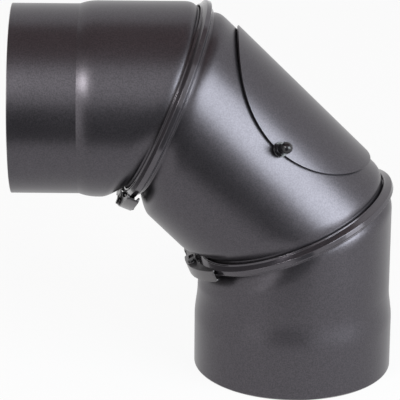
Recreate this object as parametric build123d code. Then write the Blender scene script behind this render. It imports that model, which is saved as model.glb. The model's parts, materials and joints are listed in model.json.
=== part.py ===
from build123d import *
import os
from math import asin, cos, degrees, pi, radians, sin, sqrt, tan

# Adjustable flue elbow: three painted steel pipe segments that turn against each other at two mitred
# joints. A split clamp band with an over-centre lever holds each joint, and the middle segment has a
# cleanout opening under a bolted cover. Millimetres, +Z up, origin at the centre of the outlet's mouth.

# Pipe
pipe_bore = 150.0
wall = 2.0
bend = 45.0
inlet_length = 122.5
middle_length = 143.0
outlet_length = 121.5

# Inlet spigot, which goes into the next pipe
spigot_diameter = 149.0
spigot_length = 53.0
step_length = 14.0

# Outlet socket, which takes the next pipe's spigot
socket_bore = 154.5
socket_depth = 40.0
socket_ease = 25.0

# Pipe ends at a joint: a round neck, a shoulder that blends into the pipe, and a turned-out flange
neck_inset = 1.0
neck_height = 7.0
shoulder_height = 21.0
shoulder_sections = 7
flange_gap = 0.3
flange_clearance = 0.3

# Clamp band: rolled hat section
band_sheet = 1.3
band_rise = 6.4
band_crest_width = 3.6
band_foot_rise = 1.7
band_foot_start = 4.1
band_foot_end = 5.4
band_corner_r = 0.5
band_split = 5.0

# Over-centre lever lock
pivot_rise = 5.4
pivot_offset = 4.7
toggle_length = 17.0
lever_reach = 54.0
lever_swing = 110.0
lever_width = 9.6
lever_sheet = 1.4
lever_gap = 1.2
lever_crown = 8.9
lever_tip = 5.6
lever_tip_bulge = 1.2
lever_web_start = 0.1
link_sheet = 1.2
link_depth = 6.8
link_bridge_rear = 4.2
link_bridge_front = 7.0
lug_sheet = 1.5
lug_eye_r = 3.4
pin_r = 1.9
pin_head_r = 3.2
pin_head_height = 1.2
pin_clearance = 0.05
side_clearance = 0.2
eye_clearance = 0.4
slot_clearance = 0.25

# Cleanout cover: a round sheet disc rolled to the pipe
cover_r = 74.7
cover_sheet = 1.5
gasket_thickness = 1.6
gasket_r = 61.0
gasket_inner_r = 55.5
cleanout_r = 54.0
outline_points = 16

# Cover studs, which stand in notches at the cover's edge, with washers and cap nuts
stud_arc = 73.6
stud_shift = 2.5
stud_r = 3.0
stud_hole_r = 3.3
stud_thread = 6.0
stud_chamfer = 0.5
washer_r = 6.0
washer_thickness = 1.2
nut_flats = 10.0
nut_hex_height = 4.6
nut_height = 14.4
nut_neck_r = 3.9
nut_ball_r = 4.6
nut_bore_clearance = 0.05

# Derived sizes
pipe_r = pipe_bore / 2 + wall
tilt = bend / 2
spigot_r = spigot_diameter / 2
socket_r = socket_bore / 2 + wall
neck_r = pipe_r - neck_inset
crest_r = pipe_r + band_rise
foot_r = pipe_r + band_foot_rise
pivot_r = crest_r + pivot_rise
lever_low_r = crest_r + lever_gap
cover_top = pipe_r + gasket_thickness + cover_sheet
washer_top = cover_top + washer_thickness
far = 4 * (inlet_length + middle_length + outlet_length)


def heading(angle):
    """Unit vector in the elbow's plane, turned from +Z towards -X."""
    return Vector(-sin(radians(angle)), 0, cos(radians(angle)))


outlet_joint = Vector(0, 0, outlet_length)
inlet_joint = outlet_joint + heading(bend) * middle_length


def clamp_plane(joint, angle):
    """Joint plane: X towards the inside of the bend, Y towards the viewer, Z upstream."""
    return Plane(origin=joint, x_dir=heading(angle + 90), z_dir=heading(angle))


inlet_clamp = clamp_plane(inlet_joint, bend + tilt)
outlet_clamp = clamp_plane(outlet_joint, tilt)


def downstream(plane):
    """The same joint plane with Z pointing downstream."""
    return Plane(origin=plane.origin, x_dir=plane.x_dir, z_dir=-plane.z_dir)


# Pipe segments


def end_section(height, inset):
    """Section of a pipe end along the joint plane: a circle at the neck, the pipe's own ellipse above."""
    t = (height - neck_height) / (shoulder_height - neck_height)
    share = t * (2 - t)
    neck = neck_r - inset
    pipe = pipe_r - inset
    half_long = neck + share * (pipe / cos(radians(tilt)) - neck)
    half_short = neck + share * (pipe - neck)
    shift = share * height * tan(radians(tilt))
    return Pos(shift, 0, height) * Ellipse(half_long, half_short)


def shoulder(inset):
    step = (shoulder_height - neck_height) / (shoulder_sections - 1)
    heights = [neck_height + step * i for i in range(shoulder_sections)]
    return loft([end_section(height, inset) for height in heights])


def standing_cylinder(radius, low, high):
    return Pos(0, 0, low) * Cylinder(radius, high - low, align=(Align.CENTER, Align.CENTER, Align.MIN))


def band_slope():
    """Rise and run of the band's sloping face, from its foot to its crest, and their length."""
    rise = crest_r - foot_r
    run = band_foot_start - band_crest_width / 2
    return rise, run, sqrt(rise * rise + run * run)


def flange_radius():
    """The flange reaches as far into the band's groove as its clearance allows."""
    rise, run, length = band_slope()
    flange_top = flange_gap / 2 + wall
    inside = band_crest_width / 2 - flange_top - (band_sheet + flange_clearance) * length / rise
    return crest_r + inside * rise / run


def pipe_end(inset):
    """Solid pipe end in the joint's frame, its outside for no inset and its bore for the wall's inset."""
    start = -wall if inset else flange_gap / 2
    end = standing_cylinder(neck_r - inset, start, neck_height) + shoulder(inset)
    if not inset:
        end += standing_cylinder(flange_radius(), flange_gap / 2, flange_gap / 2 + wall)
    return end


def beyond_shoulder(solid, plane):
    """The part of a solid past the joint's shoulder, on the side that the plane's Z points to."""
    return split(solid, bisect_by=plane.offset(shoulder_height), keep=Keep.TOP)


def turned(points_and_curves, plane):
    """Revolve a closed outline, drawn with X as radius and Y along the axis, about the plane's Z."""
    return plane * revolve(Plane.XZ * make_face(points_and_curves), Axis.Z)


def inlet_pipe(inset, reach):
    """Spigot, step and pipe, turned about the inlet's axis from its free end."""
    low = spigot_r - inset
    high = pipe_r - inset
    step_end = spigot_length + step_length
    rise = high - low
    step_r = (step_length**2 + rise**2) / (2 * rise)
    sweep = degrees(asin(step_length / step_r))
    step = JernArc(start=(high, step_end), tangent=(0, -1), radius=step_r, arc_size=-sweep)
    spigot = [(low, spigot_length), (low, -reach), (0, -reach)]
    outline = Polyline(*spigot, (0, far), (high, far), (high, step_end))
    upstream = heading(2 * bend)
    mouth = Plane(inlet_joint + upstream * inlet_length, x_dir=(0, 1, 0), z_dir=-upstream)
    return turned([outline, step], mouth)


def outlet_pipe(inset, reach):
    """Socket and pipe, turned about the outlet's axis from its mouth."""
    low = socket_r - inset
    high = pipe_r - inset
    ease_end = socket_depth + socket_ease
    ease = Spline((low, socket_depth), (high, ease_end), tangents=[(0, 1), (0, 1)])
    socket = [(0, -reach), (low, -reach), (low, socket_depth)]
    outline = Polyline((high, ease_end), (high, far), (0, far), *socket)
    return turned([ease, outline], Plane.XY)


def middle_pipe(radius):
    axis_plane = Plane(outlet_joint, x_dir=(0, 1, 0), z_dir=heading(bend))
    return axis_plane * standing_cylinder(radius, -far, far)


def inlet_segment():
    outside = beyond_shoulder(inlet_pipe(0, 0), inlet_clamp) + inlet_clamp * pipe_end(0)
    bore = beyond_shoulder(inlet_pipe(wall, wall), inlet_clamp) + inlet_clamp * pipe_end(wall)
    return outside - bore


def outlet_segment():
    end = downstream(outlet_clamp)
    outside = beyond_shoulder(outlet_pipe(0, 0), end) + end * pipe_end(0)
    bore = beyond_shoulder(outlet_pipe(wall, wall), end) + end * pipe_end(wall)
    return outside - bore


def middle_segment():
    ends = [downstream(inlet_clamp), outlet_clamp]

    def filled(inset):
        body = middle_pipe(pipe_r - inset)
        for plane in ends:
            body = beyond_shoulder(body, plane)
        for plane in ends:
            body += plane * pipe_end(inset)
        return body

    return filled(0) - filled(wall) - cover_plane * rolled_disc(cleanout_r)


# Cleanout cover

cover_plane = Plane(
    origin=outlet_joint + heading(bend) * (middle_length / 2),
    x_dir=heading(bend),
    z_dir=heading(bend - 90),
)


def rolled_disc(radius):
    """Wedge with its edge square to the pipe, which cuts a flat disc's outline out of the rolled sheet."""
    widest = radius / cover_top
    low = pipe_r * cos(widest) / 2
    high = pipe_r + 2 * wall + cover_sheet + gasket_thickness

    def outline(height):
        points = []
        for i in range(outline_points):
            t = 2 * pi * i / outline_points
            points.append((radius * cos(t), height * tan(widest * sin(t))))
        steps = [i / outline_points for i in range(outline_points + 1)]
        return Pos(0, 0, height) * make_face(Edge.make_spline(points, periodic=True, parameters=steps))

    return loft([outline(low), outline(high)], ruled=True)


def lying_cylinder(radius):
    return Rot(0, 90, 0) * Cylinder(radius, 2 * (cover_r + wall))


def cover_gasket():
    sheet = lying_cylinder(pipe_r + gasket_thickness) - lying_cylinder(pipe_r)
    return cover_plane * ((sheet & rolled_disc(gasket_r)) - rolled_disc(gasket_inner_r))


def stud_plane(side):
    """Local frame of a stud: origin on the pipe's axis, Z out through the stud."""
    angle = side * degrees(stud_arc / cover_top)
    return cover_plane * Pos(-stud_shift, 0, 0) * Rot(-angle, 0, 0)


def cleanout_cover():
    low = pipe_r + gasket_thickness
    cover = (lying_cylinder(cover_top) - lying_cylinder(low)) & rolled_disc(cover_r)
    cover = cover_plane * cover
    for side in (1, -1):
        cover -= stud_plane(side) * standing_cylinder(stud_hole_r, pipe_r - wall, washer_top)
    return cover


def cover_stud(side):
    stud = standing_cylinder(stud_r, pipe_r - wall, washer_top + stud_thread)
    stud = chamfer(stud.edges().sort_by(Axis.Z)[-1], stud_chamfer)
    return stud_plane(side) * stud - cover_plane * lying_cylinder(pipe_r)


def cover_washer(side):
    ring = standing_cylinder(washer_r, cover_top, washer_top)
    ring -= standing_cylinder(stud_hole_r, cover_top, washer_top)
    return stud_plane(side) * ring


def cap_nut(side):
    corner_r = nut_flats / sqrt(3)
    ball_centre = nut_height - nut_ball_r
    hexagon = extrude(RegularPolygon(corner_r, 6), nut_hex_height)
    bevel_low = nut_hex_height + (nut_flats / 2 - corner_r) / 2
    bevel = standing_cylinder(nut_flats / 2, 0, nut_hex_height)
    bevel += Pos(0, 0, bevel_low) * Cone(
        corner_r + nut_hex_height - bevel_low,
        nut_flats / 2,
        nut_hex_height - bevel_low,
        align=(Align.CENTER, Align.CENTER, Align.MIN),
    )
    bevel += standing_cylinder(corner_r * 2, 0, bevel_low)
    nut = hexagon & bevel
    nut += standing_cylinder(nut_neck_r, nut_hex_height, ball_centre)
    nut += Pos(0, 0, ball_centre) * Sphere(nut_ball_r)
    nut -= standing_cylinder(stud_r + nut_bore_clearance, 0, stud_thread + stud_chamfer)
    return stud_plane(side) * Pos(0, 0, washer_top) * nut


# Clamp bands and their locks, built in the joint's frame and used at both joints


def around(radius, angle):
    """Point of the joint plane by radius and angle from the inside of the bend."""
    return Vector(radius * cos(radians(angle)), radius * sin(radians(angle)))


pivot_angle = degrees(pivot_offset / pivot_r)
toggle_angle = degrees(2 * asin(toggle_length / 2 / pivot_r))
anchor_angle = pivot_angle - toggle_angle
pivot = around(pivot_r, pivot_angle)
link_eye = around(pivot_r, pivot_angle + toggle_angle)
anchor = around(pivot_r, anchor_angle)


def clamp_band():
    """Hat section rolled into a ring, open between the two lugs of the lock."""
    rise, run, length = band_slope()
    crest = band_crest_width / 2
    lift = band_sheet * length / rise
    turn = band_sheet * (length - run) / rise
    outer = [(foot_r, band_foot_end), (foot_r, band_foot_start), (crest_r, crest)]
    inner_crest = crest + band_sheet * run / rise - lift
    inner = [(crest_r - band_sheet, inner_crest), (foot_r - band_sheet, band_foot_start - turn)]
    inner += [(foot_r - band_sheet, band_foot_end)]
    half = outer + [(r, -z) for r, z in reversed(outer)]
    back = [(r, -z) for r, z in reversed(inner)]
    profile = make_face(FilletPolyline(*half, *back, *inner, radius=band_corner_r, close=True))
    gap = degrees(band_split / crest_r)
    ring = revolve(Plane.XZ * profile, Axis.Z, 360 - gap)
    return Rot(0, 0, (pivot_angle + anchor_angle) / 2 + gap / 2) * ring


def lug(angle, width):
    """Folded lug on the band's crest: two ears with an eye."""
    depth = 2 * pivot_rise
    ear = Circle(lug_eye_r) + Pos(-depth / 2, 0) * Rectangle(depth, 2 * lug_eye_r)
    block = extrude(ear, width / 2, both=True)
    fork = Pos(lug_sheet - pivot_rise, 0, 0) * Box(
        depth,
        3 * lug_eye_r,
        width - 2 * lug_sheet,
        align=(Align.MIN, Align.CENTER, Align.CENTER),
    )
    block = block - fork - Cylinder(pin_r + pin_clearance, 2 * width)
    return Pos(around(pivot_r, angle)) * Rot(0, 0, angle) * block - Cylinder(crest_r, 2 * width)


def lever_face():
    """Side view of the lever: round at its pivot, arched over the band, thinner towards its tip."""
    round_r = pivot_rise - lever_gap
    tip = pivot_angle + degrees(lever_reach / pivot_r)
    middle = (pivot_angle + tip) / 2
    top = ThreePointArc(
        around(pivot_r + round_r, pivot_angle),
        around(crest_r + lever_crown, middle),
        around(crest_r + lever_tip, tip),
    )
    low = ThreePointArc(
        around(lever_low_r, tip),
        around(lever_low_r, middle),
        around(lever_low_r, pivot_angle),
    )
    back = pivot + around(round_r, pivot_angle - 90)
    rear = ThreePointArc(low @ 1, back, top @ 0)
    bulge = around(lever_tip_bulge, tip + 90)
    end = ThreePointArc(top @ 1, (top @ 1 + low @ 0) / 2 + bulge, low @ 0)
    return make_face([top, end, low, rear]), top


def lever():
    """Channel with its web outside. The web stops short of the pivot so that the lug clears it."""
    side, top = lever_face()
    web_start = top @ lever_web_start
    ahead = Pos(web_start) * Rot(0, 0, pivot_angle)
    web = side - Pos(top.arc_center) * Circle(top.radius - lever_sheet)
    web -= ahead * Rectangle(far, far, align=(Align.CENTER, Align.MAX))
    cheek = Pos(0, 0, lever_width / 2 - lever_sheet) * extrude(side, lever_sheet)
    channel = extrude(web, lever_width / 2, both=True) + cheek + mirror(cheek, Plane.XY)
    for eye in (pivot, link_eye):
        channel -= Pos(eye) * Cylinder(pin_r + pin_clearance, 2 * lever_width)
    return channel


plate_in = lever_width / 2 + side_clearance
plate_out = plate_in + link_sheet


def link():
    """Two slotted plates outside the lever's cheeks, joined by a bridge behind the lever."""
    frame = Plane(origin=anchor, x_dir=link_eye - anchor, z_dir=(0, 0, -1))
    reach = (link_eye - anchor).length
    bridge_low = lug_eye_r + eye_clearance
    bridge_high = bridge_low + link_sheet
    bridge_length = link_bridge_rear + link_bridge_front
    corner = (Align.MIN, Align.MIN)
    bridge = Pos(-link_bridge_rear, bridge_low) * Rectangle(bridge_length, link_sheet, align=corner)
    rear = Pos(-link_bridge_rear, 0) * Rectangle(bridge_length, bridge_high, align=corner)
    plate = Pos(reach / 2, 0) * SlotCenterToCenter(reach, link_depth) + rear
    longest = 2 * toggle_length
    shortest = longest * cos(radians((lever_swing - toggle_angle) / 2))
    slot_length = longest - shortest
    slot = SlotCenterToCenter(slot_length, 2 * (pin_r + slot_clearance))
    plate -= Pos(shortest + slot_length / 2, 0) * slot
    plate -= Circle(pin_r + pin_clearance)
    side = Pos(0, 0, plate_in) * extrude(plate, link_sheet)
    return frame * (extrude(bridge, plate_in, both=True) + side + mirror(side, Plane.XY))


def headed_pin(place):
    """Rivet through the link's plates, with a head outside each."""
    head = plate_out + side_clearance
    pin = standing_cylinder(pin_r, -head, head)
    for low in (head, -head - pin_head_height):
        pin += standing_cylinder(pin_head_r, low, low + pin_head_height)
    return Pos(place) * pin


def pivot_pin():
    return Pos(pivot) * Cylinder(pin_r, lever_width)


lock = {
    "clamp_band": clamp_band(),
    "hinge_lug": lug(pivot_angle, lever_width - 2 * lever_sheet - 2 * side_clearance),
    "anchor_lug": lug(anchor_angle, 2 * (plate_in - side_clearance)),
    "lever": lever(),
    "link": link(),
    "pivot_pin": pivot_pin(),
    "link_pin": headed_pin(link_eye),
    "anchor_pin": headed_pin(anchor),
}

nodes = {
    "inlet_segment": inlet_segment(),
    "middle_segment": middle_segment(),
    "outlet_segment": outlet_segment(),
    "cleanout_cover": cleanout_cover(),
    "cover_gasket": cover_gasket(),
}
for name, side in (("front", 1), ("rear", -1)):
    nodes[name + "_stud"] = cover_stud(side)
    nodes[name + "_washer"] = cover_washer(side)
    nodes[name + "_cap_nut"] = cap_nut(side)
for name, plane in (("inlet", inlet_clamp), ("outlet", outlet_clamp)):
    for piece, shape in lock.items():
        nodes[name + "_" + piece] = plane * shape

os.makedirs("parts", exist_ok=True)
for name, shape in nodes.items():
    export_step(shape, "parts/" + name + ".step")
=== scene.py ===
# %% [markdown]
# An adjustable flue elbow: three painted steel pipes that turn against each other at two slanted joints.
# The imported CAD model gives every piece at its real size, in metres, so this file only adds the looks:
# the camera and the studio, the paints, and softer edges where sheet metal was pressed.

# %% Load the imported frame
import json
from math import cos, pi, radians, sin

import bmesh
import bpy
from mathutils import Matrix, Vector


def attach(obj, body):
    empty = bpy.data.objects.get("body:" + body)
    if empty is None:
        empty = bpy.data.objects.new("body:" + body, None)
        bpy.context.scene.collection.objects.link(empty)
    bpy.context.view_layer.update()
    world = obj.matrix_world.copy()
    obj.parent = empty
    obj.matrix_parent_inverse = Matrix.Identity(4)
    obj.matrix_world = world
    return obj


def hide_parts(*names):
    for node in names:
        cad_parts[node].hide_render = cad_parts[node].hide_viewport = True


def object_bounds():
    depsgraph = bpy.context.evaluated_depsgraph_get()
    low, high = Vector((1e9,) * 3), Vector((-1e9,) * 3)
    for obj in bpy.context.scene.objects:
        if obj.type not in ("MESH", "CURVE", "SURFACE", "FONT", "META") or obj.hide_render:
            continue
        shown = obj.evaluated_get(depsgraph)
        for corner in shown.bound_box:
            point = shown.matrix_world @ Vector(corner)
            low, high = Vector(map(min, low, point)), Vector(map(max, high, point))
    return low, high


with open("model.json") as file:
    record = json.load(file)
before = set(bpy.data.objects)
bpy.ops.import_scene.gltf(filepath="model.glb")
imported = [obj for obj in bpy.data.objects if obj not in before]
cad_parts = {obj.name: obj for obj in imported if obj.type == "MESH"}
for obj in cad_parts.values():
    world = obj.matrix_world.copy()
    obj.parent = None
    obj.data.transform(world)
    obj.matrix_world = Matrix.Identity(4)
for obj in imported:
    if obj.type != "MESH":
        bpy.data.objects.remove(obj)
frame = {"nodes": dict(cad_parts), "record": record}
cad_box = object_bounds()
scene = bpy.context.scene

# %% [markdown]
# A camera is a pinhole with a place, three turns and a focal length. These came from matching the pipe
# ends, the outlines and the bands of the photograph. A long lens far away keeps the pipes nearly parallel.

# %% Camera
camera_place = Vector((-0.0745, -2.1, 0.9595))
camera_pitch = radians(21.37)
camera_yaw = radians(-0.03)
camera_roll = radians(0.47)
sensor_width = 36.0
focal_length = 255.0

camera_data = bpy.data.cameras.new("photo_camera")
camera_data.sensor_width = sensor_width
camera_data.lens = focal_length
camera = bpy.data.objects.new("photo_camera", camera_data)
scene.collection.objects.link(camera)
turn = Matrix.Rotation(-camera_yaw, 4, "Z") @ Matrix.Rotation(pi / 2 - camera_pitch, 4, "X")
camera.matrix_world = Matrix.Translation(camera_place) @ turn @ Matrix.Rotation(camera_roll, 4, "Z")
scene.camera = camera
print("camera", [round(v, 3) for v in camera.location], "lens", camera_data.lens)

# %% [markdown]
# Shader nodes can be wired by hand, but formulas read better as Python. A Wire stands for one output
# socket, and adding or multiplying wires adds the Math nodes. A Tree makes every other node: its type
# first, then its settings, then the values or wires of its sockets.


# %% Shader wires
class Wire:
    """One output socket of a node tree that can be used in arithmetic."""

    def __init__(self, tree, socket):
        self.tree = tree
        self.socket = socket

    def __add__(self, other):
        return self.tree.math("ADD", self, other)

    def __sub__(self, other):
        return self.tree.math("SUBTRACT", self, other)

    def __rsub__(self, other):
        return self.tree.math("SUBTRACT", other, self)

    def __mul__(self, other):
        return self.tree.math("MULTIPLY", self, other)

    __radd__ = __add__
    __rmul__ = __mul__


class Tree:
    """A node tree of a material or of the world, emptied and ready for new nodes."""

    def __init__(self, owner):
        owner.use_nodes = True
        self.nodes = owner.node_tree.nodes
        self.links = owner.node_tree.links
        self.nodes.clear()

    def node(self, kind, settings=None, sockets=None, output=0):
        made = self.nodes.new(kind)
        for name, value in (settings or {}).items():
            setattr(made, name, value)
        for name, value in (sockets or {}).items():
            if isinstance(value, Wire):
                self.links.new(value.socket, made.inputs[name])
            else:
                made.inputs[name].default_value = value
        return Wire(self, made.outputs[output]) if made.outputs else made

    def math(self, operation, *values):
        return self.node("ShaderNodeMath", {"operation": operation}, dict(enumerate(values)))

    def mix(self, share, low, high):
        """Blend of two colours. The Mix node keeps its colour sockets at 6 and 7 and its result at 2."""
        settings = {"data_type": "RGBA", "clamp_factor": True}
        return self.node("ShaderNodeMix", settings, {0: share, 6: low, 7: high}, 2)

    def noise(self, place, scale, detail, roughness):
        sockets = {"Vector": place, "Scale": scale, "Detail": detail, "Roughness": roughness}
        return self.node("ShaderNodeTexNoise", None, sockets)

    def ramp(self, value, low, high):
        """0 below low, 1 above high, and smooth between them."""
        settings = {"interpolation_type": "SMOOTHSTEP", "clamp": True}
        sockets = {"Value": value, "From Min": low, "From Max": high}
        return self.node("ShaderNodeMapRange", settings, sockets)

    def vector(self, operation, first, second):
        """Vector Math on two vectors, which gives a vector, or a number for a dot product."""
        output = "Value" if operation == "DOT_PRODUCT" else "Vector"
        return self.node("ShaderNodeVectorMath", {"operation": operation}, {0: first, 1: second}, output)

    def scaled(self, direction, length):
        settings = {"operation": "SCALE"}
        return self.node("ShaderNodeVectorMath", settings, {0: direction, "Scale": length})

    def place(self):
        return self.node("ShaderNodeTexCoord", None, None, "Object")

    def normal(self):
        return self.node("ShaderNodeTexCoord", None, None, "Normal")


# %% [markdown]
# The studio is a white table, a white world and soft boxes. Light Path tells what kind of ray asks: the
# camera, mirrors and glass see plain white, while diffuse light from the world stays at a plain level.
# A card is a plain matt sheet, and one with a glow looks white with only a trace of the shadows on it.

# %% Studio materials
scene.view_settings.view_transform = "Standard"
white = (1.0, 1.0, 1.0, 1.0)


def seen_directly(tree):
    """1 for rays that show the background: from the camera, from gloss and through glass."""
    path = tree.node("ShaderNodeLightPath", None, None, "Is Camera Ray")
    rays = path.socket.node.outputs
    gloss = Wire(tree, rays["Is Glossy Ray"])
    glass = Wire(tree, rays["Is Transmission Ray"])
    return path + gloss + glass


def light_world(level):
    world = bpy.data.worlds.new("white_studio")
    scene.world = world
    tree = Tree(world)
    dim = tree.node("ShaderNodeBackground", None, {"Color": white, "Strength": level})
    bright = tree.node("ShaderNodeBackground", None, {"Color": white, "Strength": 1.0})
    shown = tree.node("ShaderNodeMixShader", None, {0: seen_directly(tree), 1: dim, 2: bright})
    tree.node("ShaderNodeOutputWorld", None, {"Surface": shown})


def card_finish(name, colour, glow=0.0):
    material = bpy.data.materials.new(name)
    tree = Tree(material)
    card = tree.node("ShaderNodeBsdfDiffuse", None, {"Color": (*colour, 1.0)})
    lit = tree.node("ShaderNodeEmission", None, {"Color": white, "Strength": 1.0})
    shown = tree.node("ShaderNodeMixShader", None, {0: seen_directly(tree) * glow, 1: card, 2: lit})
    tree.node("ShaderNodeOutputMaterial", None, {"Surface": shown})
    return material


light_world(level=0.35)
table_white = card_finish("white_table", (0.85, 0.85, 0.85), glow=0.92)
room_dim = card_finish("dim_room", (0.03, 0.027, 0.03))
ceiling_dim = card_finish("dim_ceiling", (0.48, 0.32, 0.3))
print("world and cards ready")

# %% [markdown]
# Satin paint shows its surroundings as soft bands. In the photograph the pipes are darkest where they face
# the dim room before the table and the warm ceiling, so two cards stand there, out of the camera's sight.
# The table lies a hair below the elbow's rim, so that the two faces don't flicker into each other.

# %% Table and cards


def stage_card(name, corners, material, in_sight):
    bm = bmesh.new()
    bm.faces.new([bm.verts.new(corner) for corner in corners])
    mesh = bpy.data.meshes.new(name)
    bm.to_mesh(mesh)
    bm.free()
    mesh.materials.append(material)
    card = bpy.data.objects.new(name, mesh)
    card.visible_camera = in_sight
    scene.collection.objects.link(card)


def level_corners(left, right, front, back, height):
    return [(left, front, height), (right, front, height), (right, back, height), (left, back, height)]


def upright_corners(left, right, low, high, depth):
    return [(left, depth, low), (right, depth, low), (right, depth, high), (left, depth, high)]


table_sheet = level_corners(left=-3.0, right=3.0, front=-0.36, back=3.0, height=-0.0002)
room_sheet = upright_corners(left=-1.4, right=0.9, low=-1.8, high=0.75, depth=-2.6)
ceiling_sheet = level_corners(left=-2.2, right=2.0, front=-1.2, back=1.0, height=2.2)
stage_card("table", table_sheet, table_white, in_sight=True)
stage_card("room_side", room_sheet, room_dim, in_sight=False)
stage_card("ceiling", ceiling_sheet, ceiling_dim, in_sight=False)
print("table and two cards ready")

# %% [markdown]
# Soft boxes are area lamps. The large cool one at the right makes the broad sheen on the middle pipe, two
# weak ones lift the sides, and the small one at the upper left makes the spot on the inlet's step.

# %% Lamps


def soft_box(name, direction, distance, size, watts, tint=(1.0, 1.0, 1.0)):
    """Area lamp that faces the elbow's middle from a direction."""
    aim = (cad_box[0] + cad_box[1]) / 2
    data = bpy.data.lights.new(name, "AREA")
    data.shape = "RECTANGLE"
    data.size, data.size_y = size
    data.energy = watts
    data.color = tint
    lamp = bpy.data.objects.new(name, data)
    scene.collection.objects.link(lamp)
    away = Vector(direction).normalized()
    facing = away.to_track_quat("Z", "Y").to_matrix().to_4x4()
    lamp.matrix_world = Matrix.Translation(aim + away * distance) @ facing


cool = (0.86, 0.95, 1.0)
pale_cool = (0.9, 0.96, 1.0)
soft_box("key_box", (0.72, -0.6, 0.35), distance=1.6, size=(1.15, 0.9), watts=27.0, tint=cool)
soft_box("right_box", (0.9, -0.4, -0.02), distance=1.8, size=(0.7, 1.0), watts=6.0, tint=pale_cool)
soft_box("left_box", (-0.67, -0.74, 0.05), distance=1.8, size=(0.5, 1.2), watts=1.3)
soft_box("left_top_box", (-0.47, -0.67, 0.57), distance=1.8, size=(0.45, 0.4), watts=12.0)
print(len(bpy.data.lights), "lamps ready")

# %% [markdown]
# The elbow is sprayed with heat-resistant paint: dark grey with a very fine metallic grain, dull enough to
# blur a lamp into a wide soft glow. A noise about as fine as the grain changes the paint's colour, roughness
# and height a little, and a slow one makes the coat uneven, as spraying does.

# %% Sprayed coats
flake_scale = 900.0
cloud_scale = 24.0
flake_roughness = 0.03
cloud_roughness = 0.08
bump_depth = 0.0001


def shaded(colour, factor=1.0):
    return [c * factor for c in colour] + [1.0]


class Coat:
    """The colour, roughness and bump of a sprayed coat, before they go to a shader."""

    def __init__(self, name, colour, roughness, grain):
        self.material = bpy.data.materials.new(name)
        tree = Tree(self.material)
        self.tree = tree
        self.place = tree.place()
        fine = tree.noise(self.place, flake_scale, detail=3.0, roughness=0.7)
        self.flakes = tree.ramp(fine, 0.35, 0.65)
        self.clouds = tree.noise(self.place, cloud_scale, detail=3.0, roughness=0.5)
        self.colour = tree.mix(self.flakes, shaded(colour, 1.0 - grain), shaded(colour, 1.0 + grain))
        uneven = (self.flakes - 0.5) * flake_roughness + (self.clouds - 0.5) * cloud_roughness
        self.roughness = roughness + uneven

    def finish(self, metallic, bump):
        tree = self.tree
        height = {"Strength": bump, "Distance": bump_depth, "Height": self.flakes}
        sockets = {
            "Base Color": self.colour,
            "Metallic": metallic,
            "Roughness": self.roughness,
            "Normal": tree.node("ShaderNodeBump", None, height),
        }
        shader = tree.node("ShaderNodeBsdfPrincipled", None, sockets)
        tree.node("ShaderNodeOutputMaterial", None, {"Surface": shader})
        return self.material


print("coats of flakes at", flake_scale, "and clouds at", cloud_scale, "per metre")

# %% [markdown]
# The factory only dusts the inside of a pipe, so a mask finds the faces that look towards the pipe's axis
# and makes them duller. At a cut rim the paint is thin and bare steel shows, a fraction of a millimetre deep.

# %% Pipe paints
satin = {"colour": (0.081, 0.075, 0.084), "roughness": 0.33, "grain": 0.17}
satin_shader = {"metallic": 0.86, "bump": 0.04}
inside_colour = (0.06, 0.055, 0.055)
inside_dullness = 0.2
inside_margin = 0.01
steel_colour = (0.3, 0.29, 0.29)
rim_wear = 0.0002
rim_paint = 0.0007
rim_waver = 0.0016


def pipe_paint(name, axis_point, axis, mouth=None):
    """Outside paint with a duller inside and a worn rim. The axis and the mouth are in the part's frame."""
    coat = Coat(name, **satin)
    tree = coat.tree
    centred = tree.vector("SUBTRACT", coat.place, axis_point)
    along = tree.vector("DOT_PRODUCT", centred, axis)
    radial = tree.vector("SUBTRACT", centred, tree.scaled(axis, along))
    facing = tree.vector("DOT_PRODUCT", radial, tree.normal())
    inside = tree.ramp(facing, 0.0, -inside_margin)
    coat.colour = tree.mix(inside, coat.colour, shaded(inside_colour))
    coat.roughness = coat.roughness + inside * inside_dullness
    if mouth is not None:
        depth = tree.vector("DOT_PRODUCT", tree.vector("SUBTRACT", coat.place, mouth), axis)
        worn = tree.ramp(depth + (coat.clouds - 0.5) * rim_waver, rim_paint, rim_wear)
        coat.colour = tree.mix(worn, coat.colour, shaded(steel_colour))
    return coat.finish(**satin_shader)


bend = radians(45)
middle_length = 0.143
inlet_length = 0.1225
outlet_mouth = Vector((0.0, 0.0, 0.0))
outlet_axis = Vector((0.0, 0.0, 1.0))
outlet_joint = outlet_axis * 0.1215
middle_axis = Vector((-sin(bend), 0.0, cos(bend)))
inlet_axis = Vector((1.0, 0.0, 0.0))
inlet_mouth = outlet_joint + middle_axis * middle_length - inlet_axis * inlet_length
pipe_paints = {
    "inlet_segment": pipe_paint("inlet_paint", inlet_mouth, inlet_axis, inlet_mouth),
    "middle_segment": pipe_paint("middle_paint", outlet_joint, middle_axis),
    "outlet_segment": pipe_paint("outlet_paint", outlet_mouth, outlet_axis, outlet_mouth),
}
print(len(pipe_paints), "pipe paints ready")

# %% [markdown]
# The cover is sprayed like the pipes. The bands are glossier, the locks lighter and duller, the rivets
# blackened, the nuts gloss black, and the gasket is a pale mineral fibre. Every CAD node names a slot of the
# record, and each slot gets its paint. The pipes share a slot but not an axis, so they come first.

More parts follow.
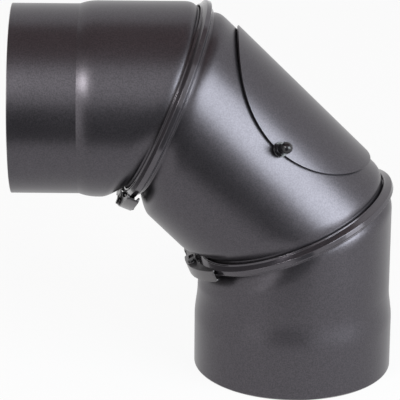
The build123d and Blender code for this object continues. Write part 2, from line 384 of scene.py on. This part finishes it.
# %% Paint the CAD nodes
band_coat = Coat("band_paint", (0.085, 0.078, 0.087), roughness=0.15, grain=0.06)
lock_coat = Coat("lock_paint", (0.12, 0.114, 0.118), roughness=0.3, grain=0.08)
pin_coat = Coat("pin_paint", (0.02, 0.02, 0.022), roughness=0.35, grain=0.06)
nut_coat = Coat("nut_gloss", (0.012, 0.011, 0.013), roughness=0.12, grain=0.1)
fibre_coat = Coat("gasket_fibre", (0.6, 0.58, 0.53), roughness=0.9, grain=0.2)
slot_paints = {
    "pipe_paint": Coat("cover_paint", **satin).finish(**satin_shader),
    "band_paint": band_coat.finish(metallic=0.7, bump=0.02),
    "lock_paint": lock_coat.finish(metallic=0.75, bump=0.03),
    "pin_black": pin_coat.finish(metallic=0.3, bump=0.03),
    "fastener_black": nut_coat.finish(metallic=0.1, bump=0.0),
    "gasket_fibre": fibre_coat.finish(metallic=0.0, bump=0.4),
}
node_slots = {subpart["node"]: subpart["material_slot"] for subpart in frame["record"]["subparts"]}
for name, slot in node_slots.items():
    slots = frame["nodes"][name].data.materials
    slots.clear()
    slots.append(pipe_paints.get(name, slot_paints[slot]))
print(len(node_slots), "nodes painted")

# %% [markdown]
# No edge of real sheet metal is as sharp as a CAD edge, and the thin bright line on a rounded edge is what
# makes it look like metal. A copy of the CAD mesh, with its loose triangles merged and flat ones joined,
# gets its sharp edges bevelled. Weighted normals then keep the large faces flat in the shading.

# %% Softened edges
merge_distance = 2e-6
flat_angle = radians(0.5)
sharp_angle = radians(32)
bevel_segments = 3
node_bodies = {}
for body, names in frame["record"]["behaviour"]["bodies"].items():
    node_bodies.update({name: body for name in names})


def softened(name, width):
    node = frame["nodes"][name]
    bm = bmesh.new()
    bm.from_mesh(node.data)
    bmesh.ops.remove_doubles(bm, verts=bm.verts, dist=merge_distance)
    bmesh.ops.dissolve_limit(bm, angle_limit=flat_angle, verts=bm.verts, edges=bm.edges)
    sharp = [edge for edge in bm.edges if edge.is_manifold and edge.calc_face_angle() > sharp_angle]
    bmesh.ops.bevel(
        bm,
        geom=sharp,
        offset=width,
        offset_type="OFFSET",
        affect="EDGES",
        segments=bevel_segments,
        profile=0.5,
        material=-1,
        clamp_overlap=True,
    )
    for face in bm.faces:
        face.smooth = True
    mesh = bpy.data.meshes.new(name + "_soft")
    bm.to_mesh(mesh)
    bm.free()
    mesh.materials.append(node.data.materials[0])
    piece = bpy.data.objects.new(name + "_soft", mesh)
    scene.collection.objects.link(piece)
    piece.modifiers.new("even_normals", "WEIGHTED_NORMAL")
    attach(piece, node_bodies[name])
    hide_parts(name)
    print(name, len(mesh.polygons), "faces")


# %% [markdown]
# The widths are those of pressed sheet and turned rivets: a lever's edges are rolled a little wider than a
# lug's, and a rivet's head is nearly round at its rim.

# %% Soften the small pieces
pressed = 0.0003
rolled = 0.0004
riveted = 0.0006
lock_widths = {
    "lever": rolled,
    "link": pressed,
    "hinge_lug": pressed,
    "anchor_lug": pressed,
    "pivot_pin": pressed,
    "link_pin": riveted,
    "anchor_pin": riveted,
}
for joint in ("inlet", "outlet"):
    for piece, width in lock_widths.items():
        softened(f"{joint}_{piece}", width)
for side in ("front", "rear"):
    softened(f"{side}_washer", pressed)
    softened(f"{side}_cap_nut", pressed)
softened("cleanout_cover", rolled)
